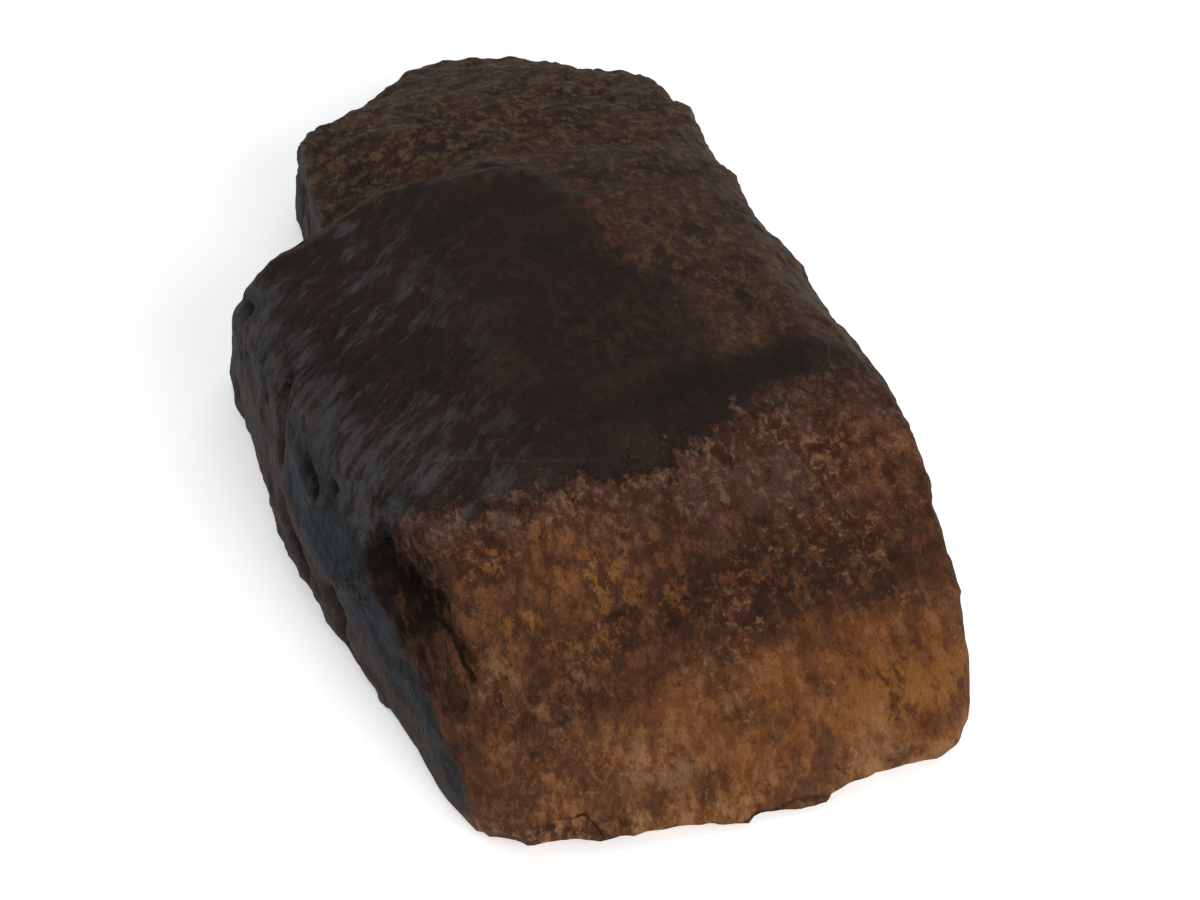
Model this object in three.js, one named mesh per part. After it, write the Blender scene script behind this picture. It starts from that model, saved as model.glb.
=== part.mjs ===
// A weathered length of basalt column, lying on one of its joint faces.
//
// Cooling lava shrinks and cracks into columns whose sides are flat joint faces. This length has a broad,
// nearly level upper side, a long ramp broken down to the front, two near-vertical long sides, and a lower
// ledge at the back where the upper layers have split away. It is one piece of rock, so it is one solid.
//
// How the shape is made: each layer is the room inside a set of flat facets. The grid of a plain box is
// drawn in, point by point, towards a heart inside the stone until it meets the facets, and the facets are
// blended where they meet, so that every edge is worn round. The three layers share the heart, and the
// outer skin of all three together is the stone. Slow noise roughens each facet, and dents are pressed in.
//
// Millimetres, +Z up, +Y from the front ramp to the back ledge, origin at the middle of the base.

import * as THREE from "three";
import { ImprovedNoise } from "three/addons/math/ImprovedNoise.js";

// ---- Driving dimensions ----
const LENGTH = 922; // front foot to back tip
const WIDTH = 461; // across the broadest part
const TOP = 146; // height of the upper side
const LEDGE = 116; // height of the back ledge where it leaves the upper side

const GRID_STEP = 17; // spacing of the skin's grid
const EDGE_SHARPNESS = 60; // blending exponent: a higher one leaves a crisper edge
const HEART = new THREE.Vector3(-20, 90, 62); // inside all three layers
const BASE_SINK = 3; // how far the base facet lies under the ground before it is cut level
const ROUGH_WAVELENGTH = 120; // of the noise that roughens the facets
const FACET_SHIFT = 17; // sets the noise of one facet apart from that of the next

// ---- Facets ----
// A facet is the plane through `through` whose outward normal points to compass heading `heading`, degrees
// from +X towards +Y, raised `rise` degrees above level. `rough` is how far its surface wanders.
const facet = (heading, rise, through, rough = 3) => {
  const h = THREE.MathUtils.degToRad(heading);
  const r = THREE.MathUtils.degToRad(rise);
  const normal = new THREE.Vector3(
    Math.cos(h) * Math.cos(r),
    Math.sin(h) * Math.cos(r),
    Math.sin(r),
  );
  const reach = normal.dot(new THREE.Vector3(...through).sub(HEART));
  return { normal, reach, rough };
};

const base = facet(0, -90, [0, 0, -BASE_SINK], 3);

// Sides of the front half, which the upper plate and the shoulder under it share.
const frontSides = [
  base,
  facet(180, 82, [-228, 0, TOP - 22], 4), // left part of the upper side, falling to the left
  facet(0, 79, [60, 0, TOP - 4], 4), // right part of the upper side, falling to the right
  facet(270, 66, [-20, -150, 132], 3), // front ramp
  facet(270, 39, [-20, -311, 64], 3), // nose
  facet(270, 5, [20, -366, 10], 2), // foot of the nose
  facet(254, 8, [-100, -349, 8], 3), // foot of the nose, left part
  facet(305, 12, [108, -348, 10], 3), // front right corner
  facet(218, 30, [-202, -281, 40], 3), // front left corner
  facet(200, 29, [-214, -142, 80], 2), // hollow bevel between the ramp and the left wall
  facet(192, 3, [-215, -160, 60], 3), // left wall, front part
  facet(181, 9, [-246, 0, 0], 3), // left wall, back part
  facet(158, 8, [-260, 150, 40], 3), // back left corner
  facet(117, 25, [-134, 170, 140], 3), // riser above the ledge
  facet(0, 45, [181, 0, 85], 4), // worn right edge
  facet(0, 10, [181, 0, 85], 4), // right wall
  facet(344, 14, [144.5, -225, 85], 4), // right wall, front part
];

// The upper plate: a thin top layer whose end stands proud of the shoulder as a rounded tongue.
const plate = [
  ...frontSides,
  facet(270, 87.4, [-40, -148, TOP - 9], 3), // upper side
  facet(84, 20, [0, 180, TOP], 3), // tip of the tongue
  facet(24, 25, [40, 99, TOP], 3), // right side of the tongue
  facet(343, 25, [40, 99, TOP], 3), // right side of the tongue, front part
];

// The shoulder: the rest of the front half, level with the plate in front and one thin layer lower behind.
const shoulder = [
  ...frontSides,
  facet(270, 87.4, [-40, -148, TOP - 9], 3), // upper side, front part
  facet(90, 86.5, [0, 10, TOP - 2], 3), // upper side, falling to the back
  facet(80, 62, [100, 215, TOP - 22], 4), // end, running out onto the ledge
];

// The ledge: the lowest layer, which runs under the other two and stands out behind them.
const ledge = [
  base,
  facet(184, 76.5, [-140, 300, LEDGE - 30], 4), // left part, falling to the left
  facet(60, 85.5, [60, 200, LEDGE + 5], 4), // middle
  facet(100, 78, [40, 290, LEDGE], 4), // far slope, left part
  facet(62, 78, [110, 250, LEDGE], 4), // far slope, right part
  facet(356, 45, [185, 200, 93], 4), // worn right edge
  facet(356, 8, [189, 200, 80], 4), // right wall
  facet(27, 15, [203, 408, 60], 4), // back right corner
  facet(52, 20, [113, 498, 62], 4), // back wall, right part
  facet(108, 15, [22, 550, 62], 4), // back wall, left part
  facet(134, 12, [-71, 447, 62], 4), // back left corner
  facet(180, 4, [-144, 310, 40], 4), // left wall of the ledge
  facet(270, 0, [0, -120, 60], 0), // inside the front half
];

// ---- Dents ----
// Each is pressed in about `at` over `radius`, to `depth`; a negative depth raises a swelling.
const dents = [
  { at: [-196, -178, 104], radius: 30, depth: 7 }, // hollow in the bevel
  { at: [-222, -18, 118], radius: 18, depth: 6 }, // chips along the left upper edge
  { at: [-222, -58, 118], radius: 16, depth: 6 },
  { at: [-218, -100, 116], radius: 18, depth: 5 },
  { at: [-222, -124, 20], radius: 40, depth: -5 }, // low swelling at the foot of the left wall
  { at: [40, -298, 60], radius: 34, depth: 4 }, // flake scar on the nose
  { at: [180, -100, 90], radius: 42, depth: 4 }, // scallops along the worn right edge
  { at: [184, 118, 90], radius: 36, depth: 7 },
  { at: [70, 330, 104], radius: 46, depth: 4 }, // hollow in the middle of the ledge
  { at: [120, 262, 112], radius: 40, depth: -4 }, // low rib across the ledge
];

// ---- Skin ----
const noise = new ImprovedNoise();

// Three octaves of gradient noise, each at half the wavelength and half the height of the one before.
const wander = (p, wavelength, shift) => {
  let sum = 0;
  for (let octave = 0; octave < 3; octave += 1) {
    const scale = 2 ** octave / wavelength;
    sum += noise.noise(p.x * scale + shift, p.y * scale, p.z * scale + shift) / 2 ** octave;
  }
  return sum;
};

// Share of the ray from the heart that lies inside a layer. The ray crosses each facet at
// reach / (normal . ray), and a power mean of the crossings rounds the nearest one off where two are close.
const shareInside = (layer, ray, near) => {
  let sum = 0;
  layer.forEach(({ normal, reach, rough }, index) => {
    const towards = normal.dot(ray);
    if (towards <= 0) return;
    const shift = near ? rough * wander(near, ROUGH_WAVELENGTH, FACET_SHIFT * index) : 0;
    sum += (towards / (reach + shift)) ** EDGE_SHARPNESS;
  });
  return sum ** (-1 / EDGE_SHARPNESS);
};

// Where a ray leaves the outermost layer. The facets are roughened only once a point near the skin is known.
const skinPoint = (ray, near) => {
  const share = Math.max(...[plate, shoulder, ledge].map((layer) => shareInside(layer, ray, near)));
  return ray.clone().multiplyScalar(share).add(HEART);
};

const dentAt = (p) => {
  let depth = 0;
  for (const { at, radius, depth: full } of dents) {
    const away = p.distanceTo(new THREE.Vector3(...at)) / radius;
    depth += full * Math.exp(-away * away);
  }
  return depth;
};

// ---- The stone ----
const stoneGeometry = () => {
  const box = new THREE.Vector3(WIDTH, LENGTH, TOP + BASE_SINK);
  const steps = box.clone().divideScalar(GRID_STEP).round();
  const geometry = new THREE.BoxGeometry(box.x, box.y, box.z, steps.x, steps.y, steps.z);
  const position = geometry.getAttribute("position");
  const ray = new THREE.Vector3();
  for (let i = 0; i < position.count; i += 1) {
    ray.fromBufferAttribute(position, i);
    const p = skinPoint(ray, skinPoint(ray));
    p.addScaledVector(ray.clone().normalize(), -dentAt(p));
    position.setXYZ(i, p.x, p.y, Math.max(p.z, 0));
  }
  geometry.computeBoundingBox();
  const middle = geometry.boundingBox.getCenter(new THREE.Vector3());
  const size = geometry.boundingBox.getSize(new THREE.Vector3());
  geometry.translate(-middle.x, -middle.y, 0);
  geometry.scale(WIDTH / size.x, LENGTH / size.y, 1);
  return geometry;
};

const basalt = new THREE.MeshStandardMaterial({ color: 0x4a3527, roughness: 0.85, metalness: 0 });
const stone = new THREE.Mesh(stoneGeometry(), basalt);
stone.name = "stone";

const column = new THREE.Group();
column.add(stone);

export default column;
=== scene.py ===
# A weathered length of basalt column, lying on a pale floor in soft studio light.
#
# The stone's large form comes from the solid model. A copy of it is subdivided, and its skin is then moved
# in and out along its normals by sums of noise, flake edges, cracks and pits. Its colours are laid down in
# the places where the stone carries them: a dark, faintly glossy crust on the upper side, warm brown broken
# rock on the front ramp, tan on the nose and blue-grey on the left wall.
# Painted light is laid in with them: near-black painted shade in the hollows and cracks, and a painted bluish
# sheen on the crust and the left wall.

import functools
import itertools
import math

import bmesh
import bpy
import numpy as np
from bpy.props import FloatProperty, FloatVectorProperty, PointerProperty
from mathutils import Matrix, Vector


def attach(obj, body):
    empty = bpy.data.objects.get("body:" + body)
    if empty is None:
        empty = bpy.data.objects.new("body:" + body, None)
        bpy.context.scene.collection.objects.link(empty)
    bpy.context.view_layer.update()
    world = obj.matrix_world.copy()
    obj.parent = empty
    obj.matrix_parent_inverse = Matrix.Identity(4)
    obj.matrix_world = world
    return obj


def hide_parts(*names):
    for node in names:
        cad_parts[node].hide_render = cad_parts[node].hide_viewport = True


bl_info = {
    "name": "Basalt Column",
    "version": (1, 0, 0),
    "blender": (4, 5, 0),
    "location": "3D View > Sidebar > Stone",
    "description": "Builds a weathered length of basalt column and the studio it lies in",
    "category": "Add Mesh",
}

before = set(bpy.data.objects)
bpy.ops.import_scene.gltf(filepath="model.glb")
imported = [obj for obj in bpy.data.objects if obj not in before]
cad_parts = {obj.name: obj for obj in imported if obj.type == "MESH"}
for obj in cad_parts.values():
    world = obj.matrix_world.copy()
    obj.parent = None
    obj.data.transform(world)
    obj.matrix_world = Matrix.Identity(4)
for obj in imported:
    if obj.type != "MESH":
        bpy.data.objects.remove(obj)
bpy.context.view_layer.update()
MILLIMETRE = 0.001


# ---- Settings ----


def length(name, description, default):
    """A setting in metres."""
    return FloatProperty(name=name, description=description, default=default, unit="LENGTH", precision=4)


def colour(name, description, default):
    """A setting that is a colour, in linear light."""
    return FloatVectorProperty(
        name=name, description=description, default=default, subtype="COLOR", min=0, max=1
    )


class StoneShape(bpy.types.PropertyGroup):
    """How strong the relief of the skin is"""

    fullness: length("Fullness", "How far the sides stand out before they are chipped", 0.0022)
    swell: length("Swell", "Height of the slow waves of the skin", 0.0020)
    rough: length("Roughness", "Height of the coarse grain of the skin", 0.0006)
    flake: length("Flake", "Height of one flake step", 0.0016)
    chip: length("Chip", "Depth of the chips along worn edges", 0.0060)
    scar: length("Scar", "Depth of the small scars all over", 0.0023)
    stroke: length("Stroke", "Depth of the feather strokes on the crust", 0.0036)
    pitting: length("Pitting", "Depth of the pits of the broken rock", 0.0008)
    undercut: length("Undercut", "How far the foot is eaten in under the edge", 0.0040)


class StoneColours(bpy.types.PropertyGroup):
    """The colours of the rock, and of the painted shade and sheen on it"""

    crust: colour("Crust", "Dark weathered crust of the upper side", (0.0165, 0.0098, 0.0074))
    crust_warm: colour("Warm crust", "Browner parts of the crust", (0.034, 0.0185, 0.0125))
    # Painted reflection: a blue-grey sky sheen laid into the crust's colour, in strokes and along its left
    # edge.
    painted_blue_sheen: colour("Blue crust", "Blue-grey strokes on the crust", (0.056, 0.056, 0.061))
    crust_brown: colour("Brown crust", "Crust of the right side and the ledge", (0.058, 0.031, 0.0200))
    crust_red: colour("Red crust", "Reddish parts of the ledge", (0.058, 0.025, 0.0165))
    crust_olive: colour("Olive crust", "Olive parts of the right side and the ledge", (0.125, 0.072, 0.034))
    crust_gold: colour("Gold crust", "Yellowish grains of the back ledge", (0.165, 0.098, 0.042))
    broken: colour("Broken rock", "Brown rock of the front ramp", (0.068, 0.0275, 0.0145))
    rust: colour("Rust", "Reddish brown grains", (0.105, 0.037, 0.0150))
    rose: colour("Rose brown", "Pinkish brown on the upper ramp", (0.063, 0.037, 0.034))
    ochre: colour("Ochre", "Orange to yellow stain on the ramp", (0.152, 0.057, 0.0225))
    umber: colour("Umber", "Dark brown stain on the ramp", (0.028, 0.0115, 0.0070))
    tan: colour("Tan", "Tan rock of the nose", (0.155, 0.053, 0.0145))
    rose_tan: colour("Rose tan", "Pinkish parts of the nose", (0.190, 0.083, 0.032))
    gold: colour("Gold", "Yellow streak on the nose", (0.195, 0.079, 0.017))
    pale: colour("Pale crust", "Pale specks and worn edges", (0.260, 0.142, 0.070))
    slate: colour("Slate", "Smooth blue-grey of the left wall", (0.0122, 0.0136, 0.0162))
    # Painted reflection: lighter blue-grey sheen streaks on the smooth wall and in the hollow beside the
    # ramp.
    painted_slate_sheen: colour("Light slate", "Sheen on the smooth wall", (0.021, 0.0280, 0.0350))
    slate_warm: colour("Warm slate", "Pinkish grey-brown low on the left wall", (0.034, 0.0240, 0.0200))
    # Painted shade: near black laid into the hollows and fine cracks, where shade falls.
    shade: colour("Shade", "Nearly black rock in hollows and cracks", (0.0062, 0.0024, 0.0012))


class StudioSettings(bpy.types.PropertyGroup):
    """The floor, the lights and the camera"""

    floor: colour("Floor", "Colour of the floor", (0.90, 0.90, 0.90))
    floor_glow: FloatProperty(name="Floor glow", description="Light given off by the floor", default=0.42)
    sky: FloatProperty(name="Sky", description="Strength of the even light from all round", default=0.36)
    key: FloatProperty(name="Key light", description="Power of the key light", default=50, unit="POWER")
    fill: FloatProperty(name="Fill light", description="Power of the fill light", default=9, unit="POWER")
    top: FloatProperty(name="Top light", description="Power of the overhead light", default=14, unit="POWER")
    distance: length("Camera distance", "From the camera to the point it looks at", 1.24)
    azimuth: FloatProperty(
        name="Camera azimuth", description="Round from the front", default=math.radians(-20), unit="ROTATION"
    )
    elevation: FloatProperty(
        name="Camera elevation", description="Above the floor", default=math.radians(40), unit="ROTATION"
    )


# ---- Noise and masks on arrays of points ----


def smooth(value, low, high):
    """0 below low and 1 above high, with a smooth cubic between them; low may be the larger."""
    t = np.clip((value - low) / (high - low), 0, 1)
    return t * t * (3 - 2 * t)


def hashed(cell, seed):
    """A scrambled whole number for each whole-numbered cell of space."""
    key = cell @ np.array([73856093, 19349663, 83492791]) + 7919 * seed
    key = (key ^ (key >> 13)) * 1274126177
    return key ^ (key >> 16)


def noise(points, wavelength, seed=0):
    """Gradient noise, about -1 to 1. Space is cut into cubes one wavelength wide. Each cube corner has a
    slope picked by a whole-number hash of its place, and a point adds up the eight slopes around it, each
    weighted by the product of the fade curves towards its corner."""
    place = points / wavelength + 11.3 * seed
    cell = np.floor(place).astype(np.int64)
    part = place - cell
    fade = part**3 * (part * (part * 6 - 15) + 10)
    total = np.zeros(len(points))
    for corner in itertools.product((0, 1), repeat=3):
        key = hashed(cell + corner, seed)
        turn = (key & 1023) * (math.tau / 1024)
        height = ((key >> 10) & 1023) / 511.5 - 1
        flat = np.sqrt(1 - height**2)
        slope = np.stack([flat * np.cos(turn), flat * np.sin(turn), height], axis=1)
        weight = np.prod(np.where(corner, fade, 1 - fade), axis=1)
        total += weight * ((part - corner) * slope).sum(axis=1)
    return total * 1.7


def scars(points, size, seed=0):
    """Shallow bowls that meet in sharp ridges, like the scars of struck flakes, about 0 to 1. Space is cut
    into cubes of that size, each with one seed somewhere in it, and the height is the squared distance to
    the nearest seed, in cubes."""
    place = points / size + 5.7 * seed
    cell = np.floor(place).astype(np.int64)
    nearest = np.full(len(points), np.inf)
    for corner in itertools.product((-1, 0, 1), repeat=3):
        near = cell + corner
        key = hashed(near, seed)
        inside = np.stack([key & 1023, (key >> 10) & 1023, (key >> 20) & 1023], axis=1) / 1024
        nearest = np.minimum(nearest, ((place - near - inside) ** 2).sum(axis=1))
    return nearest


def layered_noise(points, wavelength, seed=0, octaves=3):
    """Octaves of noise, each at half the wavelength and half the height of the one before."""
    return sum(noise(points, wavelength / 2**k, seed + k) / 2**k for k in range(octaves))


def along(points, turn, run, across):
    """Points turned about Z by an angle and squeezed, so that noise of wavelength 1 becomes strokes of
    length run, width across, laid in the direction turn."""
    c, s = math.cos(turn), math.sin(turn)
    return np.stack(
        [
            (points[:, 0] * c + points[:, 1] * s) / run,
            (points[:, 1] * c - points[:, 0] * s) / across,
            points[:, 2] / across,
        ],
        axis=1,
    )


def steps(value, sharpness=0.25):
    """A stair of unit steps: level over most of each unit, and a smooth riser over the last part of it."""
    whole = np.floor(value)
    return whole + smooth(value - whole, 1 - sharpness, 1)


def near_line(points, start, end):
    """Distance from each point to the straight line between two ends."""
    start, end = np.array(start), np.array(end)
    run = end - start
    share = np.clip((points - start) @ run / (run @ run), 0, 1)
    return np.linalg.norm(points - start - share[:, None] * run, axis=1)


# ---- The stone's skin ----

# Hollows and slots wide enough for the mesh: one end, other end, half width, depth, in metres.
HOLLOWS = [
    ((-0.178, -0.252, 0.101), (-0.166, -0.312, 0.092), 0.0120, 0.0110),  # the hollow beside the ramp
    ((-0.160, -0.305, 0.098), (-0.155, -0.350, 0.085), 0.0060, 0.0070),  # running down from it
    ((-0.207, -0.098, 0.116), (-0.216, -0.124, 0.080), 0.0060, 0.0130),  # slot in the left upper edge
    ((-0.219, -0.137, 0.050), (-0.217, -0.190, 0.022), 0.0055, 0.0060),  # down the left wall
    ((-0.210, -0.228, 0.042), (-0.209, -0.240, 0.020), 0.0060, 0.0070),  # farther forward on it
    ((-0.130, 0.240, 0.060), (-0.128, 0.246, 0.020), 0.0060, 0.0060),  # in the left wall of the ledge
]

# How much a distance from a fine crack counts along each axis: less along the one that the skin faces.
FRONT, SIDE, ABOVE = (1, 0.15, 1), (0.15, 1, 1), (1, 1, 0.15)

# Fine cracks, drawn as dark lines of painted shade: one end, other end, half width, weights.
CRACKS = [
    ((-0.162, -0.305, 0.098), (-0.154, -0.362, 0.081), 0.0016, ABOVE),  # below the hollow
    ((-0.207, -0.097, 0.119), (-0.214, -0.126, 0.084), 0.0048, SIDE),  # slot in the left upper edge
    ((-0.207, -0.170, 0.104), (-0.204, -0.188, 0.094), 0.0036, SIDE),  # between the pits in front of it
    ((-0.219, -0.137, 0.050), (-0.217, -0.190, 0.022), 0.0016, SIDE),  # down the left wall
    ((-0.210, -0.222, 0.046), (-0.209, -0.244, 0.014), 0.0016, SIDE),  # farther forward on it
    ((-0.166, -0.404, 0.020), (-0.112, -0.437, 0.030), 0.0008, FRONT),  # over the flakes of the foot
    ((-0.112, -0.437, 0.030), (-0.100, -0.450, 0.004), 0.0007, FRONT),
    ((-0.020, -0.452, 0.008), (0.060, -0.446, 0.011), 0.0014, FRONT),  # under the flakes of the foot
    ((0.070, -0.438, 0.026), (0.125, -0.424, 0.036), 0.0008, FRONT),  # above the right of the foot
]

# Pits in the left upper edge: centre, radius, depth.
PITS = [
    ((-0.2065, -0.172, 0.100), 0.0075, 0.0070),
    ((-0.2045, -0.183, 0.097), 0.0075, 0.0070),
    ((-0.195, -0.199, 0.106), 0.006, 0.0050),
    ((-0.211, 0.004, 0.112), 0.012, 0.0070),
    ((-0.214, -0.075, 0.092), 0.006, 0.0040),
]

# The crust ends at y = CRUST_END, and at its sides its edge runs back from there.
CRUST_END = -0.270

# The left wall starts at x = WALL_BRINK where y is 0, and farther left by this share of y.
WALL_BRINK, WALL_BRINK_TURN = -0.2226, 0.13


def positive(values):
    """Each value, or 0 where it is below 0."""
    return np.maximum(values, 0)


def crust_edge(x, cut):
    """The y where the crust of the upper side ends and the ramp starts. It runs back at both sides, by a
    share of how far x is past a place on each. Cut puts 0 for what is below 0, in an array or a shader."""
    return CRUST_END + 0.27 * cut(x + 0.015) + 0.45 * cut(-0.14 - x)


def skin_offset(points, normals, ridge, shape):
    """How far each point of the skin moves out along its normal.

    It is the sum of slow and coarse noise all over; flake steps, which are noise rounded to whole steps; the
    scars of struck flakes, deep on worn edges and shallow elsewhere; long narrow scars for the feather
    strokes on the left of the crust, the streaks on its right and the flakes of the ledge; pits where noise
    is high on the broken rock; a thin step behind the edge of the crust; the hollows and pits above; and the
    foot eaten in below its edge."""
    x, y, z = points.T
    edge_y = crust_edge(x, positive)
    warped = points + 0.010 * np.stack([noise(points, 0.05, 20 + k) for k in range(3)], axis=1)
    upper = smooth(normals[:, 2], 0.6, 0.9)
    front = smooth(y, edge_y + 0.01, edge_y - 0.01) * smooth(normals[:, 2], 0.05, 0.4)
    crust = upper * (1 - front)
    left = smooth(x, -0.02, -0.10)
    back = smooth(y, 0.10, 0.18)
    wall = smooth(normals[:, 0], -0.6, -0.85)

    offset = shape.fullness * (1 - upper)
    offset += shape.swell * (noise(points, 0.10, 1) + 0.6 * noise(points, 0.05, 2))
    offset += shape.rough * layered_noise(points, 0.024, 3, 2) * (1 - 0.5 * wall)
    flaking = layered_noise(warped * [1, 1, 1.8], 0.085, 5, 2)
    offset += shape.flake * steps(2.4 * flaking, 0.16) * (1 - 0.35 * crust)

    edge = smooth(ridge, 0.0005, 0.0020)
    offset += shape.chip * edge * (1.2 * scars(warped, 0.038, 4) + 0.5 * scars(warped, 0.017, 6) - 0.75)
    small = scars(warped, 0.016, 7) - 0.35
    offset += shape.scar * small * (1 + 0.5 * back - 0.75 * crust * (1 - back)) * (1 - 0.5 * wall)

    feather = scars(along(warped, math.radians(40), 0.075, 0.015), 1, 8) - 0.35
    offset += shape.stroke * feather * crust * left * (1 - back)
    streak = scars(along(warped, math.radians(-14), 0.080, 0.018), 1, 9) - 0.35
    offset += 0.35 * shape.stroke * streak * crust * (1 - left) * (1 - back)
    flake = scars(along(warped, math.radians(14), 0.060, 0.020), 1, 10) - 0.35
    offset += 1.3 * shape.stroke * flake * crust * back

    pits = smooth(noise(warped, 0.017, 12), 0.18, 0.55) + 0.6 * smooth(noise(warped, 0.030, 13), 0.2, 0.6)
    offset -= shape.pitting * pits * front
    offset += 0.5 * shape.rough * noise(points, 0.010, 14) * (front + 0.4)

    step = edge_y + 0.030 + 0.006 * noise(points, 0.05, 15)
    offset += 0.0016 * smooth(y, step - 0.003, step + 0.003) * crust * smooth(x, 0.02, -0.03)

    wobbly = points + 0.005 * np.stack([noise(points, 0.020, 30 + k) for k in range(3)], axis=1)
    for start, end, half, depth in HOLLOWS:
        offset -= depth * np.exp(-((near_line(wobbly, start, end) / half) ** 2))
    for centre, radius, depth in PITS:
        offset -= depth * smooth(np.linalg.norm(wobbly - centre, axis=1) / radius, 1.15, 0.45)

    eaten = smooth(scars(points, 0.055, 16), 0.20, 0.60)
    offset -= shape.undercut * eaten * smooth(z, 0.012, 0.002) * (1 - smooth(-normals[:, 2], 0.5, 0.9))
    return offset * smooth(-normals[:, 2], 0.95, 0.6)


def merged_copy(node):
    """A copy of a node's mesh with its corners merged, its triangles joined in pairs into quads, and a full
    crease along the rim of its level base: the edges with just one face that points straight down."""
    work = bmesh.new()
    work.from_mesh(node.data)
    bmesh.ops.remove_doubles(work, verts=work.verts, dist=1e-6)
    bmesh.ops.join_triangles(
        work, faces=work.faces, angle_face_threshold=math.radians(50), angle_shape_threshold=math.pi
    )
    mesh = bpy.data.meshes.new("stone_cage")
    work.to_mesh(mesh)
    work.free()

    totals = whole_numbers(mesh.polygons, "loop_total", 1)
    facing = np.empty(len(mesh.polygons) * 3, np.float32)
    mesh.polygons.foreach_get("normal", facing)
    under = np.repeat(facing[2::3] < -0.99, totals)
    under_count = np.bincount(whole_numbers(mesh.loops, "edge_index", 1)[under], minlength=len(mesh.edges))
    crease = mesh.attributes.new("crease_edge", "FLOAT", "EDGE")
    crease.data.foreach_set("value", (under_count == 1).astype(np.float32))
    return mesh


def subdivided(mesh, levels):
    """The mesh after that many levels of Catmull-Clark subdivision."""
    cage = bpy.data.objects.new("stone_cage", mesh)
    bpy.context.scene.collection.objects.link(cage)
    modifier = cage.modifiers.new("Subdivision", "SUBSURF")
    modifier.levels = modifier.render_levels = levels
    fine = bpy.data.meshes.new_from_object(cage.evaluated_get(bpy.context.evaluated_depsgraph_get()))
    bpy.data.objects.remove(cage)
    bpy.data.meshes.remove(mesh)
    return fine


def coordinates(mesh):
    """The places of the mesh's points, one row each."""
    points = np.empty(len(mesh.vertices) * 3)
    mesh.vertices.foreach_get("co", points)
    return points.reshape(-1, 3)


def whole_numbers(items, name, width):
    """A property of a mesh's edges, faces or corners, with width whole numbers for each, as one long row."""
    values = np.empty(len(items) * width, np.int32)
    items.foreach_get(name, values)
    return values


def place(mesh, points):
    """Moves the mesh's points to new places."""
    mesh.vertices.foreach_set("co", points.ravel())
    mesh.update()


def vertex_normals(mesh):
    """The unit normals at the mesh's points, one row each."""
    normals = np.empty(len(mesh.vertices) * 3, np.float32)
    mesh.vertex_normals.foreach_get("vector", normals)
    return normals.reshape(-1, 3).astype(float)


def gathered(index, values, count):
    """Sum of the rows of values that share an index."""
    return np.stack([np.bincount(index, values[:, k], count) for k in range(values.shape[1])], axis=1)


def facetted(points, quads, neighbours, spread, rounds):
    """The same skin drawn towards flat facets with crisp edges between them.

    Each face's normal is first replaced, again and again, by the mean of its own and its neighbours'
    normals, where a neighbour counts less the more its normal differs, by a bell curve of that spread. Then
    each point moves, again and again, by the mean of its distances to the planes of the faces around it."""
    a, b, c, d = (points[quads[:, k]] for k in range(4))
    normals = np.cross(c - a, d - b)
    normals /= np.linalg.norm(normals, axis=1)[:, None]
    first, second = neighbours.T
    for _ in range(rounds):
        unlike = ((normals[first] - normals[second]) ** 2).sum(axis=1)
        weight = np.exp(-unlike / (2 * spread**2))[:, None]
        total = normals + gathered(first, weight * normals[second], len(quads))
        total += gathered(second, weight * normals[first], len(quads))
        normals = total / np.linalg.norm(total, axis=1)[:, None]
    corners = quads.ravel()
    count = np.bincount(corners, minlength=len(points))[:, None]
    along_face = np.repeat(normals, 4, axis=0)
    for _ in range(rounds):
        centres = np.repeat(points[quads].mean(axis=1), 4, axis=0)
        gap = ((centres - points[corners]) * along_face).sum(axis=1)[:, None]
        points = points + gathered(corners, gap * along_face, len(points)) / count
    return points


def relaxed(values, edges, rounds):
    """Each value moved half way to the mean of its neighbours along the edges, that many times."""
    count = np.bincount(edges.ravel(), minlength=len(values))
    for _ in range(rounds):
        total = np.zeros_like(values)
        np.add.at(total, edges[:, 0], values[edges[:, 1]])
        np.add.at(total, edges[:, 1], values[edges[:, 0]])
        values = (values + total / count[:, None]) / 2
    return values


def store(mesh, name, values):
    """Keeps one number for each point as an attribute, which the material reads."""
    attribute = mesh.attributes.new(name, "FLOAT", "POINT")
    attribute.data.foreach_set("value", values.astype(np.float32))


def stone_mesh(shape):
    """The skin of the stone, with three attributes for its colours: hollow, how many millimetres a point
    lies below the mean of the skin around it; upward, how far it faces up; and left_wall, how far it faces
    left."""
    mesh = subdivided(merged_copy(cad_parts["stone"]), 2)
    edges = whole_numbers(mesh.edges, "vertices", 2).reshape(-1, 2)
    quads = whole_numbers(mesh.loops, "vertex_index", 1).reshape(-1, 4)
    by_edge = np.argsort(whole_numbers(mesh.loops, "edge_index", 1), kind="stable")
    neighbours = (by_edge // 4).reshape(-1, 2)

    points = facetted(coordinates(mesh), quads, neighbours, spread=0.25, rounds=12)
    place(mesh, points)
    normals = vertex_normals(mesh)
    ridge = ((points - relaxed(points, edges, rounds=30)) * normals).sum(axis=1)
    points = points + skin_offset(points, normals, ridge, shape)[:, None] * normals
    points[:, 2] = np.maximum(points[:, 2], 0)
    place(mesh, points)
    fine_normals = vertex_normals(mesh)
    hollow = ((relaxed(points, edges, rounds=8) - points) * fine_normals).sum(axis=1)
    broad = relaxed(fine_normals, edges, rounds=6)
    store(mesh, "hollow", hollow / MILLIMETRE)
    store(mesh, "upward", broad[:, 2])
    store(mesh, "left_wall", -broad[:, 0])
    mesh.polygons.foreach_set("use_smooth", np.ones(len(mesh.polygons), bool))
    return mesh


# ---- Shader arithmetic ----


def tint(values):
    """A colour with full alpha, as a shader socket takes it."""
    return (*values, 1.0)


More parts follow.
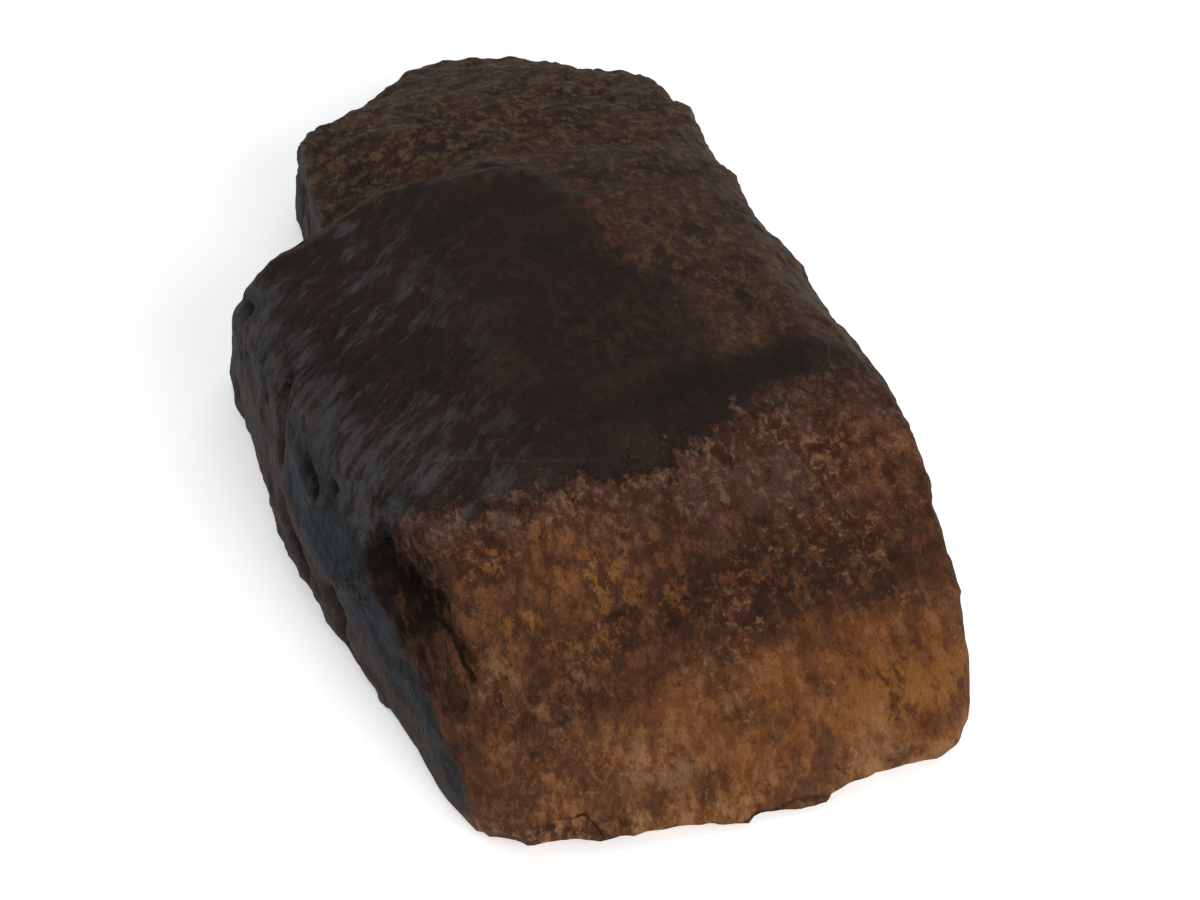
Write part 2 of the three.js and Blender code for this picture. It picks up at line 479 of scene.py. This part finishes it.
class Field:
    """A shader socket that does sums: an expression on Fields and numbers adds its Math nodes."""

    def __init__(self, tree, socket=None):
        self.tree = tree
        self.socket = socket

    def node(self, kind, settings=None, inputs=None, output=0):
        """Adds a node of a type. Its settings are set first, and then its sockets, by number or name, from
        numbers, colours or Fields. Returns one of its outputs."""
        made = self.tree.nodes.new(kind)
        for name, value in (settings or {}).items():
            setattr(made, name, value)
        for key, value in (inputs or {}).items():
            if isinstance(value, Field):
                self.tree.links.new(value.socket, made.inputs[key])
            else:
                made.inputs[key].default_value = value
        return Field(self.tree, made.outputs[output])

    def _math(self, operation, first, second):
        """A Math node on two values."""
        return self.node("ShaderNodeMath", {"operation": operation}, {0: first, 1: second})

    def __add__(self, other):
        return self._math("ADD", self, other)

    def __radd__(self, other):
        return self._math("ADD", other, self)

    def __sub__(self, other):
        return self._math("SUBTRACT", self, other)

    def __rsub__(self, other):
        return self._math("SUBTRACT", other, self)

    def __mul__(self, other):
        return self._math("MULTIPLY", self, other)

    def __rmul__(self, other):
        return self._math("MULTIPLY", other, self)

    def above(self, other):
        """The larger of the two."""
        return self._math("MAXIMUM", self, other)

    def rise(self, low, high):
        """0 below low and 1 above high, smooth between them; low may be the larger."""
        return self.node(
            "ShaderNodeMapRange", {"interpolation_type": "SMOOTHSTEP"}, {0: self, 1: low, 2: high}
        )

    def between(self, first, second):
        """The first colour where this is 0, turning into the second where it is 1."""
        return self.node(
            "ShaderNodeMix", {"data_type": "RGBA"}, {0: self, 6: tint(first), 7: tint(second)}, 2
        )

    def mixed(self, factor, other):
        """This colour turned towards another, a Field or three numbers, by a factor."""
        other = other if isinstance(other, Field) else tint(other)
        return self.node("ShaderNodeMix", {"data_type": "RGBA"}, {0: factor, 6: self, 7: other}, 2)

    def times(self, factor, other):
        """This colour multiplied by another, as far as the factor says."""
        settings = {"data_type": "RGBA", "blend_type": "MULTIPLY"}
        return self.node("ShaderNodeMix", settings, {0: factor, 6: self, 7: tint(other)}, 2)

    def vector(self, operation, other, output=0):
        """Vector Math on this vector and another."""
        return self.node("ShaderNodeVectorMath", {"operation": operation}, {0: self, 1: other}, output)

    def moved(self, other):
        """The sum of two vectors."""
        return self.vector("ADD", other)

    def scaled(self, size):
        """A vector times a number."""
        return self.node("ShaderNodeVectorMath", {"operation": "SCALE"}, {0: self, 3: size})

    def length(self):
        """The length of a vector."""
        return self.node("ShaderNodeVectorMath", {"operation": "LENGTH"}, {0: self}, 1)

    def axis(self, number):
        """One coordinate of a vector: 0, 1 or 2 for X, Y or Z."""
        return self.node("ShaderNodeSeparateXYZ", None, {0: self}, number)

    def laid(self, turn, stretch):
        """A place turned about Z by degrees and stretched: a pattern read there runs along the turn."""
        turned = self.node("ShaderNodeMapping", None, {0: self, 2: (0, 0, -math.radians(turn))})
        return turned.node("ShaderNodeMapping", None, {0: turned, 3: stretch})

    def grain(self, wavelength, detail, rough):
        """Noise read at this place, 0 to 1 around 0.5, whose largest grain is about one wavelength."""
        return self.node("ShaderNodeTexNoise", None, {0: self, 2: 1 / wavelength, 3: detail, 4: rough})

    def shaken(self, wavelength, reach, detail=3.0):
        """This place moved about by noise of a wavelength, to about a reach on every side."""
        wander = self.node("ShaderNodeTexNoise", None, {0: self, 2: 1 / wavelength, 3: detail, 4: 0.6}, 1)
        return self.moved(wander.moved((-0.5, -0.5, -0.5)).scaled(2 * reach))


def new_material(name):
    """A new material, an empty Field to start its nodes from, and its main shader."""
    material = bpy.data.materials.new(name)
    material.use_nodes = True
    return material, Field(material.node_tree), material.node_tree.nodes["Principled BSDF"]


# ---- Where the stone's colours lie ----

OBJECT_PLACE = 3  # output of a Texture Coordinate node
ATTRIBUTE_VALUE = 2  # output of an Attribute node

# Patches of colour: middle, half sizes, turn about Z in degrees, and how soft the rim is.
PATCHES = {
    "dark_band": ((0.075, -0.214, 0.135), (0.110, 0.024, 0.060), 8, 0.55),  # along the edge of the crust
    "red_crust": ((0.015, -0.150, 0.140), (0.065, 0.050, 0.050), 0, 0.90),  # in the middle of the crust
    "ochre": ((-0.080, -0.332, 0.100), (0.078, 0.050, 0.060), -8, 0.80),  # on the left of the ramp
    "tan_corner": ((0.140, -0.296, 0.110), (0.040, 0.030, 0.060), 0, 0.55),  # top right of the ramp
    "umber": ((0.042, -0.355, 0.090), (0.125, 0.038, 0.060), 2, 0.70),  # across the foot of the ramp
    "umber_stain": ((-0.118, -0.386, 0.070), (0.046, 0.012, 0.050), -4, 0.55),  # left end of the nose's top
    "brown_corner": ((-0.125, -0.418, 0.050), (0.075, 0.050, 0.050), 0, 0.55),  # left of the nose
    "gold": ((0.100, -0.424, 0.042), (0.066, 0.020, 0.018), 8, 0.55),  # yellow streak on the nose
    "dark_foot": ((-0.120, -0.430, 0.012), (0.060, 0.030, 0.018), 0, 0.55),  # under the left of the nose
}

# Worn, pale clusters on the nose: middle and radius.
WORN = [
    ((-0.140, -0.368, 0.081), 0.014),
    ((-0.098, -0.376, 0.078), 0.014),
    ((-0.060, -0.430, 0.042), 0.026),
    ((-0.016, -0.398, 0.067), 0.018),
    ((0.066, -0.446, 0.026), 0.026),
]

# How high each grain stands in the fine relief, in metres.
RELIEF = {
    "coarse": 0.0045,
    "mottle": 0.0034,
    "grit": 0.0015,
    "feather": 0.0042,
    "streak": 0.0024,
    "flaky": 0.0035,
}


class Ground:
    """What the stone's colours are laid out by.

    x, y and z are the place shaken about by coarse noise, and fine_x, fine_y and fine_z by fine noise, so
    that a straight border drawn in them comes out uneven. The grains are noise of several sizes. Broad,
    coarse, mottle, fleck and grit go from large to small, and all but broad are drawn out down the slope of
    the ramp. Feather, streak, flaky, scratch and runs are drawn out into strokes on the left of the crust,
    its right, the ledge, the left wall and the hollow beside the ramp."""

    def __init__(self, start):
        place = start.node("ShaderNodeTexCoord", None, None, OBJECT_PLACE)
        self.hollow = self.attribute(start, "hollow")
        self.leftward = self.attribute(start, "left_wall")
        self.upward = self.attribute(start, "upward")

        self.ragged = place.shaken(0.060, 0.030, 6.0)
        self.x, self.y, self.z = (self.ragged.axis(k) for k in range(3))
        self.fine = place.shaken(0.020, 0.005, 4.0)
        self.fine_x, self.fine_y, self.fine_z = (self.fine.axis(k) for k in range(3))

        down = place.laid(0, (1.0, 0.65, 0.65))
        self.broad = place.grain(0.060, 5.0, 0.62)
        self.coarse = down.moved((0.61, 0.13, 0.0)).grain(0.030, 6.0, 0.68)
        self.mottle = down.grain(0.012, 5.0, 0.74)
        self.fleck = down.moved((0.31, 0.17, 0.05)).grain(0.0075, 4.0, 0.72)
        self.grit = down.moved((0.11, 0.43, 0.29)).grain(0.0040, 3.0, 0.68)
        self.patchy = 0.5 * self.coarse + 0.5 * self.fleck
        self.specks = place.shaken(0.010, 0.005).grain(0.0062, 4.0, 0.7)
        ridged = {"noise_type": "RIDGED_MULTIFRACTAL"}
        self.vein = down.node("ShaderNodeTexNoise", ridged, {0: down, "Scale": 60, "Detail": 4})

        swayed = place.shaken(0.050, 0.006, 1.0)
        self.feather = swayed.laid(40, (26, 110, 60)).grain(1.0, 5.0, 0.72)
        self.streak = swayed.laid(-14, (20, 70, 40)).grain(1.0, 5.0, 0.72)
        self.flaky = swayed.laid(14, (26, 80, 60)).grain(1.0, 5.0, 0.72)
        self.scratch = place.laid(90, (14, 60, 60)).grain(1.0, 5.0, 0.65)
        self.runs = self.fine.laid(84, (14, 120, 60)).grain(1.0, 5.0, 0.7)

        self.ledge = self.y.rise(0.07, 0.20)
        past_edge = self.fine_y - crust_edge(self.fine_x, lambda value: value.above(0.0))
        self.front = (past_edge + 0.10 * (self.mottle - 0.5)).rise(0.004, -0.006)
        self.past_brink = WALL_BRINK - WALL_BRINK_TURN * self.fine_y - self.fine_x
        self.brink = self.past_brink.rise(-0.0015, 0.0025) * self.leftward.rise(0.30, 0.50)
        leftish = self.leftward + 0.4 * (self.coarse - 0.5)
        self.wall = self.brink.above(leftish.rise(0.66, 0.80) * self.y.rise(0.10, 0.16))

    @staticmethod
    def attribute(start, name):
        """A number that the skin keeps for each of its points."""
        return start.node("ShaderNodeAttribute", {"attribute_name": name}, None, ATTRIBUTE_VALUE)

    def ellipsoid(self, centre, radii, turn=0, soft=0.55):
        """1 inside an ellipsoid, fading to 0 across its rim, in the ragged places."""
        shifted = self.ragged.moved(tuple(-value for value in centre))
        rotation = {0: shifted, 3: -math.radians(turn)}
        turned = shifted.node("ShaderNodeVectorRotate", {"rotation_type": "Z_AXIS"}, rotation)
        return turned.vector("DIVIDE", radii).length().rise(1.0 + 0.5 * soft, 1.0 - soft)

    def patch(self, name):
        """1 on a patch of colour, fading to 0 across its rim."""
        return self.ellipsoid(*PATCHES[name])

    def past_rim(self):
        """How far a place lies beyond the rim of the tongue: three straight stretches, bent at the tip."""
        right = (self.fine_x - 0.050).above(0.7 * (self.fine_x + self.fine_y) - 0.076)
        return right.above(self.fine_y - 0.105 + 0.41 * (0.0 - self.fine_x).above(0.0))

    def line(self, start, end, half, weights):
        """1 within a straight line between two places, fading to 0 at its sides. Distances count by a weight
        along each axis, and the nearest place of the line is a share of the way along its run: the offset
        from the start, dotted with the run, over the run dotted with itself."""
        weights = Vector(weights)
        run = (Vector(end) - Vector(start)) * weights
        offset = self.fine.vector("MULTIPLY", weights).moved(-Vector(start) * weights)
        share = offset.vector("DOT_PRODUCT", run, 1) * (1 / run.length_squared)
        share = share.node("ShaderNodeClamp", None, {0: share})
        nearest = share.node("ShaderNodeVectorMath", {"operation": "SCALE"}, {0: run, 3: share})
        return offset.vector("DISTANCE", nearest, 1).rise(1.6 * half, 0.4 * half)

    def cracks(self):
        """1 on the fine cracks, where painted shade goes, broken up by grain."""
        lines = [self.line(*crack) for crack in CRACKS]
        return functools.reduce(Field.above, lines) * self.fleck.rise(0.34, 0.48)


# ---- The stone's colours ----


def brown_crust(ground, hues):
    """Brown and reddish crust with dark streaks, olive crumbs and yellowish grains, richer on the ledge."""
    g, ledge = ground, ground.ledge
    brown = (g.broad.rise(0.44, 0.56) * 0.8).between(hues.crust_brown, hues.crust_red)
    strokes = g.streak + ledge * (g.flaky - g.streak)
    brown = brown.mixed(strokes.rise(0.47, 0.38) * 0.6, hues.crust)
    brown = brown.mixed(g.coarse.rise(0.49, 0.40) * 0.75, hues.crust)
    crumbs = (0.5 * g.mottle + 0.5 * g.flaky).rise(0.49, 0.57) * g.broad.rise(0.62, 0.48)
    brown = brown.mixed(crumbs * (0.40 + 0.60 * ledge) * 0.85, hues.crust_olive)
    brown = brown.mixed(g.fleck.rise(0.53, 0.59) * (0.50 + 0.30 * ledge), hues.crust_gold)
    return brown.mixed(g.grit.rise(0.46, 0.36) * 0.6, hues.crust)


def crust_colour(ground, hues):
    """The upper side: dark on the tongue, with painted blue-grey sky reflection in strokes at its left, and
    brown beyond its rim.
    """
    g, x, y = ground, ground.fine_x, ground.fine_y
    crust = (g.broad.rise(0.42, 0.60) * 0.45).between(hues.crust, hues.crust_warm)
    crust = crust.mixed(g.coarse.rise(0.50, 0.64) * 0.35, hues.crust_warm)
    # Painted sky reflection: blue-grey strokes on the left of the crust.
    blue = (0.35 * g.feather + 0.65 * g.broad).rise(0.46, 0.58)
    blue = blue * g.x.rise(-0.03, -0.13) * g.y.rise(0.14, 0.04)
    crust = crust.mixed(blue * g.feather.rise(0.46, 0.57) * 0.60, hues.painted_blue_sheen)
    crust = crust.mixed(g.feather.rise(0.56, 0.64) * g.x.rise(-0.08, -0.14) * 0.6, hues.painted_blue_sheen)

    rim = g.past_rim()
    beyond = (rim.rise(-0.002, 0.006) * y.rise(-0.12, -0.06)).above(g.x.rise(0.045, 0.090))
    crust = crust.mixed(beyond * (0.50 + 0.6 * (g.mottle - 0.2)), brown_crust(ground, hues))
    lip = rim.rise(-0.016, -0.003) * rim.rise(0.006, 0.0) * x.rise(0.0, 0.03) * y.rise(-0.09, -0.05)
    crust = crust.mixed(lip * g.fleck.rise(0.44, 0.58) * 0.55, hues.rust)

    darkest = tuple(0.8 * value for value in hues.crust)
    crust = crust.mixed(g.patch("dark_band") * 0.95, darkest)
    crust = crust.mixed(g.patch("red_crust") * g.fleck.rise(0.46, 0.60) * 0.45, hues.crust_red)
    # Painted bluish sheen along the left upper edge.
    sheen = g.past_brink.rise(-0.038, -0.018) * g.feather.rise(0.38, 0.54)
    crust = crust.mixed(sheen * 0.7, hues.painted_blue_sheen)
    # A thin line across the left of the crust, drawn in the painted bluish sheen.
    seam = y + 0.274 + 0.33 * x - 0.50 * (-0.139 - x).above(0.0)
    seam = seam.above(0.0 - seam).rise(0.0018, 0.0005) * x.rise(-0.030, -0.060)
    crust = crust.mixed(seam * g.mottle.rise(0.40, 0.52) * 0.35, hues.painted_blue_sheen)
    return crust.mixed(g.grit.rise(0.60, 0.72) * 0.35, hues.rust)


def nose_colour(ground, hues, rock):
    """Rock of the nose over that of the ramp: tan with pinkish and rusty grains, brown at its left, pale
    along its foot and where it is worn, and with a yellow streak."""
    g = ground
    nose = g.y.rise(-0.376, -0.402)
    rock = rock.mixed(nose * (0.3 + 0.7 * g.coarse.rise(0.40, 0.54)) * 0.85, hues.tan)
    rock = rock.mixed(nose * g.broad.rise(0.50, 0.60) * g.fleck.rise(0.40, 0.56) * 0.75, hues.rust)
    rock = rock.mixed(nose * g.fleck.rise(0.51, 0.57) * g.coarse.rise(0.44, 0.56) * 0.8, hues.rose_tan)
    rock = rock.mixed(nose * g.patchy.rise(0.47, 0.41) * 0.6, hues.broken)
    rock = rock.mixed(nose * g.vein.rise(0.62, 0.74) * 0.4, hues.pale)
    brown_corner = g.patch("brown_corner")
    rock = rock.mixed(brown_corner * g.patchy.rise(0.60, 0.49) * 0.9, hues.broken)
    rock = rock.mixed(brown_corner * g.grit.rise(0.50, 0.58) * 0.5, hues.ochre)
    foot = g.z.rise(0.034, 0.014) * g.fleck.rise(0.42, 0.56) * g.coarse.rise(0.42, 0.52)
    rock = rock.mixed(foot * 0.45, hues.pale)
    rock = rock.mixed(g.patch("umber_stain") * g.fleck.rise(0.60, 0.44) * 0.65, hues.umber)
    rock = rock.mixed(g.patch("gold") * g.patchy.rise(0.42, 0.52) * 0.8, hues.gold)
    for centre, radius in WORN:
        worn = g.ellipsoid(centre, (radius, radius, radius))
        rock = rock.mixed(worn * g.mottle.rise(0.46, 0.58) * 0.45, hues.pale)
    return rock.mixed(g.patch("dark_foot") * g.patchy.rise(0.56, 0.46) * 0.8, hues.umber)


def rock_colour(ground, hues):
    """The broken rock of the ramp: umber and brown, with rust, rose and ochre grains in their places, and the
    nose below it."""
    g = ground
    rock = (0.35 + 0.65 * g.coarse.rise(0.38, 0.54)).between(hues.umber, hues.broken)
    rock = rock.mixed(g.mottle.rise(0.50, 0.42) * 0.45, hues.umber)
    rock = rock.mixed(g.fleck.rise(0.50, 0.60) * 0.6, hues.rust)
    rose = g.y.rise(-0.335, -0.285)
    rock = rock.mixed(rose * g.patchy.rise(0.46, 0.56) * 0.8, hues.rose)
    rock = rock.mixed(rose * g.fleck.rise(0.56, 0.62) * 0.28, hues.pale)
    ochre = g.patch("ochre")
    rock = rock.mixed(ochre * (0.25 + 0.75 * g.patchy.rise(0.47, 0.55)) * 0.7, hues.ochre)
    rock = rock.mixed(ochre * g.fleck.rise(0.52, 0.57) * g.broad.rise(0.42, 0.52) * 0.8, hues.gold)
    rock = rock.mixed(g.patch("tan_corner") * g.patchy.rise(0.44, 0.56) * 0.5, hues.tan)
    rock = rock.mixed(g.patch("umber") * g.fleck.rise(0.64, 0.46) * 0.85, hues.umber)
    return nose_colour(ground, hues, rock)


def wall_colour(ground, hues):
    """The left wall: smooth slate above, streaked with painted sheen, warmer and broken below a border that
    falls to the front.
    """
    g = ground
    border = 0.066 + 0.18 * (g.fine_y + 0.14) + 1.5 * (g.fine_y + 0.13).above(0.0)
    low_wall = (g.fine_z - border + 0.03 * (g.coarse - 0.5)).rise(0.006, -0.004)
    # Slate streaked with painted sheen.
    wall = g.scratch.rise(0.42, 0.60).between(hues.slate, hues.painted_slate_sheen)
    wall = wall.mixed(low_wall * g.coarse.rise(0.34, 0.50) * 0.9, hues.slate_warm)
    return wall.mixed(g.grit.rise(0.56, 0.68) * low_wall * 0.6, hues.rust)


def with_hollow(ground, hues, skin):
    """The skin with the hollow beside the ramp: nearly black painted shade above, with strokes of painted
    sheen, running out in rusty streaks below.
    """
    g, x, y = ground, ground.fine_x, ground.fine_y
    far_side = -0.172 + 0.40 * (-0.262 - y).above(0.0)
    inside = (far_side - x + 0.05 * (g.runs - 0.5)).rise(-0.003, 0.003) * (1 - g.brink)
    inside = inside * y.rise(-0.240, -0.248) * (x + 0.148).rise(0.0, -0.008)
    fade = y.rise(-0.335, -0.305).above(g.runs.rise(0.53, 0.45) * g.y.rise(-0.420, -0.340) * 0.8)
    # Painted shade filling the hollow.
    skin = skin.mixed(inside * fade * 0.95, hues.shade)
    # Strokes of painted bluish sheen in the upper part of the hollow.
    skin = skin.mixed(inside * y.rise(-0.310, -0.280) * g.runs.rise(0.56, 0.66) * 0.4, hues.painted_slate_sheen)
    return skin.mixed(inside * g.runs.rise(0.54, 0.64) * g.y.rise(-0.265, -0.305) * 0.7, hues.rust)


def with_grain(ground, hues, skin):
    """The skin with pale specks, dark grain, painted shade in its hollows and cracks, and faintly pale
    ridges.
    """
    g = ground
    speck = g.specks.rise(0.55, 0.64) * (0.10 + 0.9 * g.front) * (1 - 0.7 * g.wall)
    skin = skin.mixed(speck * g.broad.rise(0.40, 0.60) * 0.45, hues.pale)
    skin = skin.times(g.specks.rise(0.40, 0.31) * 0.6, (0.40, 0.34, 0.32))
    skin = skin.times(g.fleck.rise(0.48, 0.36) * 0.4, (0.50, 0.44, 0.42))
    # Painted shade: darker where the skin lies below the skin around it.
    skin = skin.times(g.hollow.rise(0.30, 1.7) * 0.6, (0.22, 0.17, 0.15))
    # Painted shade in the fine cracks.
    skin = skin.mixed(g.cracks() * 0.9, hues.shade)
    return skin.mixed(g.hollow.rise(-0.30, -1.2) * g.grit.rise(0.40, 0.60) * 0.12, hues.pale)


def relief_height(ground, crusty):
    """Height of the fine relief: grain all over, calmer on the crust and the wall, with strokes on the crust
    and flakes on the ledge."""
    g = ground
    calm = 1 - 0.55 * crusty * (1 - g.ledge) - 0.4 * g.wall
    height = g.coarse * RELIEF["coarse"] + g.mottle * RELIEF["mottle"] + g.grit * RELIEF["grit"]
    height = height * calm
    height = height + (g.feather * RELIEF["feather"]) * g.x.rise(-0.02, -0.12) * (1 - g.front)
    height = height + (g.streak * RELIEF["streak"]) * g.x.rise(-0.05, 0.05) * (1 - g.front)
    return height + (g.flaky * RELIEF["flaky"]) * g.ledge


def basalt_material(hues):
    """Crust, broken rock and left wall, each in its place, with a dull sheen on the crust and the wall."""
    material, start, shader = new_material("weathered_basalt")
    ground = Ground(start)
    skin = crust_colour(ground, hues).mixed(ground.front, rock_colour(ground, hues))
    skin = skin.mixed(ground.wall, wall_colour(ground, hues))
    skin = with_grain(ground, hues, with_hollow(ground, hues, skin))
    crusty = 1 - ground.front.above(1 - ground.upward.rise(0.3, 0.7))
    rough = 0.86 - 0.22 * crusty - 0.18 * ground.wall
    rough = rough + 0.40 * (ground.grit - 0.5) + 0.30 * (ground.coarse - 0.5)
    relief = relief_height(ground, crusty)
    bump = start.node("ShaderNodeBump", None, {"Strength": 1.0, "Distance": 1.0, "Height": relief})
    shader.inputs["Specular IOR Level"].default_value = 0.10
    for name, field in (("Base Color", skin), ("Roughness", rough), ("Normal", bump)):
        material.node_tree.links.new(field.socket, shader.inputs[name])
    return material


# ---- Operators ----


class BASALT_OT_stone(bpy.types.Operator):
    """Build the stone over its solid model"""

    bl_idname = "basalt.stone"
    bl_label = "Stone"

    def execute(self, context):
        scene = context.scene
        mesh = stone_mesh(scene.basalt_shape)
        stone = bpy.data.objects.new("basalt_stone", mesh)
        scene.collection.objects.link(stone)
        mesh.materials.append(basalt_material(scene.basalt_colours))
        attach(stone, "root")
        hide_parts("stone")
        return {"FINISHED"}


FLOOR_REACH = 12.0  # from the middle of the floor to each side
SKY_COLOUR = (0.97, 0.985, 1.0)
VIEW_CENTRE = Vector((0.0173, -0.1047, 0))  # the point that the camera looks at
LENS, SENSOR_WIDTH = 50, 36  # of the camera, in millimetres

# Square lights: side, place, the point it shines at, colour.
KEY_LIGHT = (1.6, (0.9, -2.3, 1.25), (0, -0.1, 0.05), (1.0, 0.97, 0.93))
FILL_LIGHT = (1.8, (-2.4, 0.6, 1.2), (0, 0, 0.05), (0.85, 0.93, 1.0))
TOP_LIGHT = (2.4, (0.2, 0.3, 2.6), (0, 0, 0), (1, 1, 1))


def area_light(name, power, spot):
    """Hangs a square light at its place and turns it towards the point it shines at."""
    side, place, target, hue = spot
    light = bpy.data.lights.new(name, "AREA")
    light.energy, light.size, light.color = power, side, hue
    lamp = bpy.data.objects.new(name, light)
    lamp.location = place
    lamp.rotation_euler = (Vector(target) - Vector(place)).to_track_quat("-Z", "Y").to_euler()
    bpy.context.scene.collection.objects.link(lamp)


class BASALT_OT_studio(bpy.types.Operator):
    """Lay the floor, hang the lights and set up the camera"""

    bl_idname = "basalt.studio"
    bl_label = "Studio"

    def execute(self, context):
        scene = context.scene
        studio = scene.basalt_studio

        floor_mesh = bpy.data.meshes.new("floor")
        far = FLOOR_REACH
        corners = [(-far, -far, 0), (far, -far, 0), (far, far, 0), (-far, far, 0)]
        floor_mesh.from_pydata(corners, [], [(0, 1, 2, 3)])
        floor = bpy.data.objects.new("floor", floor_mesh)
        scene.collection.objects.link(floor)
        material, _, shader = new_material("floor")
        shader.inputs["Base Color"].default_value = tint(studio.floor)
        shader.inputs["Roughness"].default_value = 0.9
        shader.inputs["Emission Color"].default_value = (1, 1, 1, 1)
        shader.inputs["Emission Strength"].default_value = studio.floor_glow
        floor_mesh.materials.append(material)

        world = bpy.data.worlds.new("studio")
        world.use_nodes = True
        background = world.node_tree.nodes["Background"]
        background.inputs["Color"].default_value = tint(SKY_COLOUR)
        background.inputs["Strength"].default_value = studio.sky
        scene.world = world
        area_light("key", studio.key, KEY_LIGHT)
        area_light("fill", studio.fill, FILL_LIGHT)
        area_light("top", studio.top, TOP_LIGHT)

        camera = bpy.data.objects.new("camera", bpy.data.cameras.new("camera"))
        scene.collection.objects.link(camera)
        scene.camera = camera
        round_front, level = studio.azimuth, math.cos(studio.elevation)
        back = Vector(
            (math.sin(round_front) * level, -math.cos(round_front) * level, math.sin(studio.elevation))
        )
        camera.location = VIEW_CENTRE + back * studio.distance
        camera.rotation_euler = (-back).to_track_quat("-Z", "Y").to_euler()
        camera.data.lens = LENS
        camera.data.sensor_width = SENSOR_WIDTH
        scene.view_settings.view_transform = "Standard"
        return {"FINISHED"}


class BASALT_PT_panel(bpy.types.Panel):
    """The stone and its studio, each with its settings"""

    bl_idname = "BASALT_PT_panel"
    bl_label = "Basalt column"
    bl_space_type = "VIEW_3D"
    bl_region_type = "UI"
    bl_category = "Stone"

    def draw(self, context):
        scene = context.scene
        for operator, settings in (
            (BASALT_OT_stone, (scene.basalt_shape, scene.basalt_colours)),
            (BASALT_OT_studio, (scene.basalt_studio,)),
        ):
            self.layout.operator(operator.bl_idname)
            for group in settings:
                for name in group.__annotations__:
                    self.layout.prop(group, name)


CLASSES = (
    StoneShape,
    StoneColours,
    StudioSettings,
    BASALT_OT_stone,
    BASALT_OT_studio,
    BASALT_PT_panel,
)


def register():
    """Adds the classes, and gives the scene their settings."""
    for cls in CLASSES:
        bpy.utils.register_class(cls)
    bpy.types.Scene.basalt_shape = PointerProperty(type=StoneShape)
    bpy.types.Scene.basalt_colours = PointerProperty(type=StoneColours)
    bpy.types.Scene.basalt_studio = PointerProperty(type=StudioSettings)


def unregister():
    """Takes the settings and the classes away again."""
    del bpy.types.Scene.basalt_studio
    del bpy.types.Scene.basalt_colours
    del bpy.types.Scene.basalt_shape
    for cls in reversed(CLASSES):
        bpy.utils.unregister_class(cls)


def main():
    """Builds the stone and the studio."""
    register()
    bpy.ops.basalt.stone()
    bpy.ops.basalt.studio()


if __name__ == "__main__":
    main()
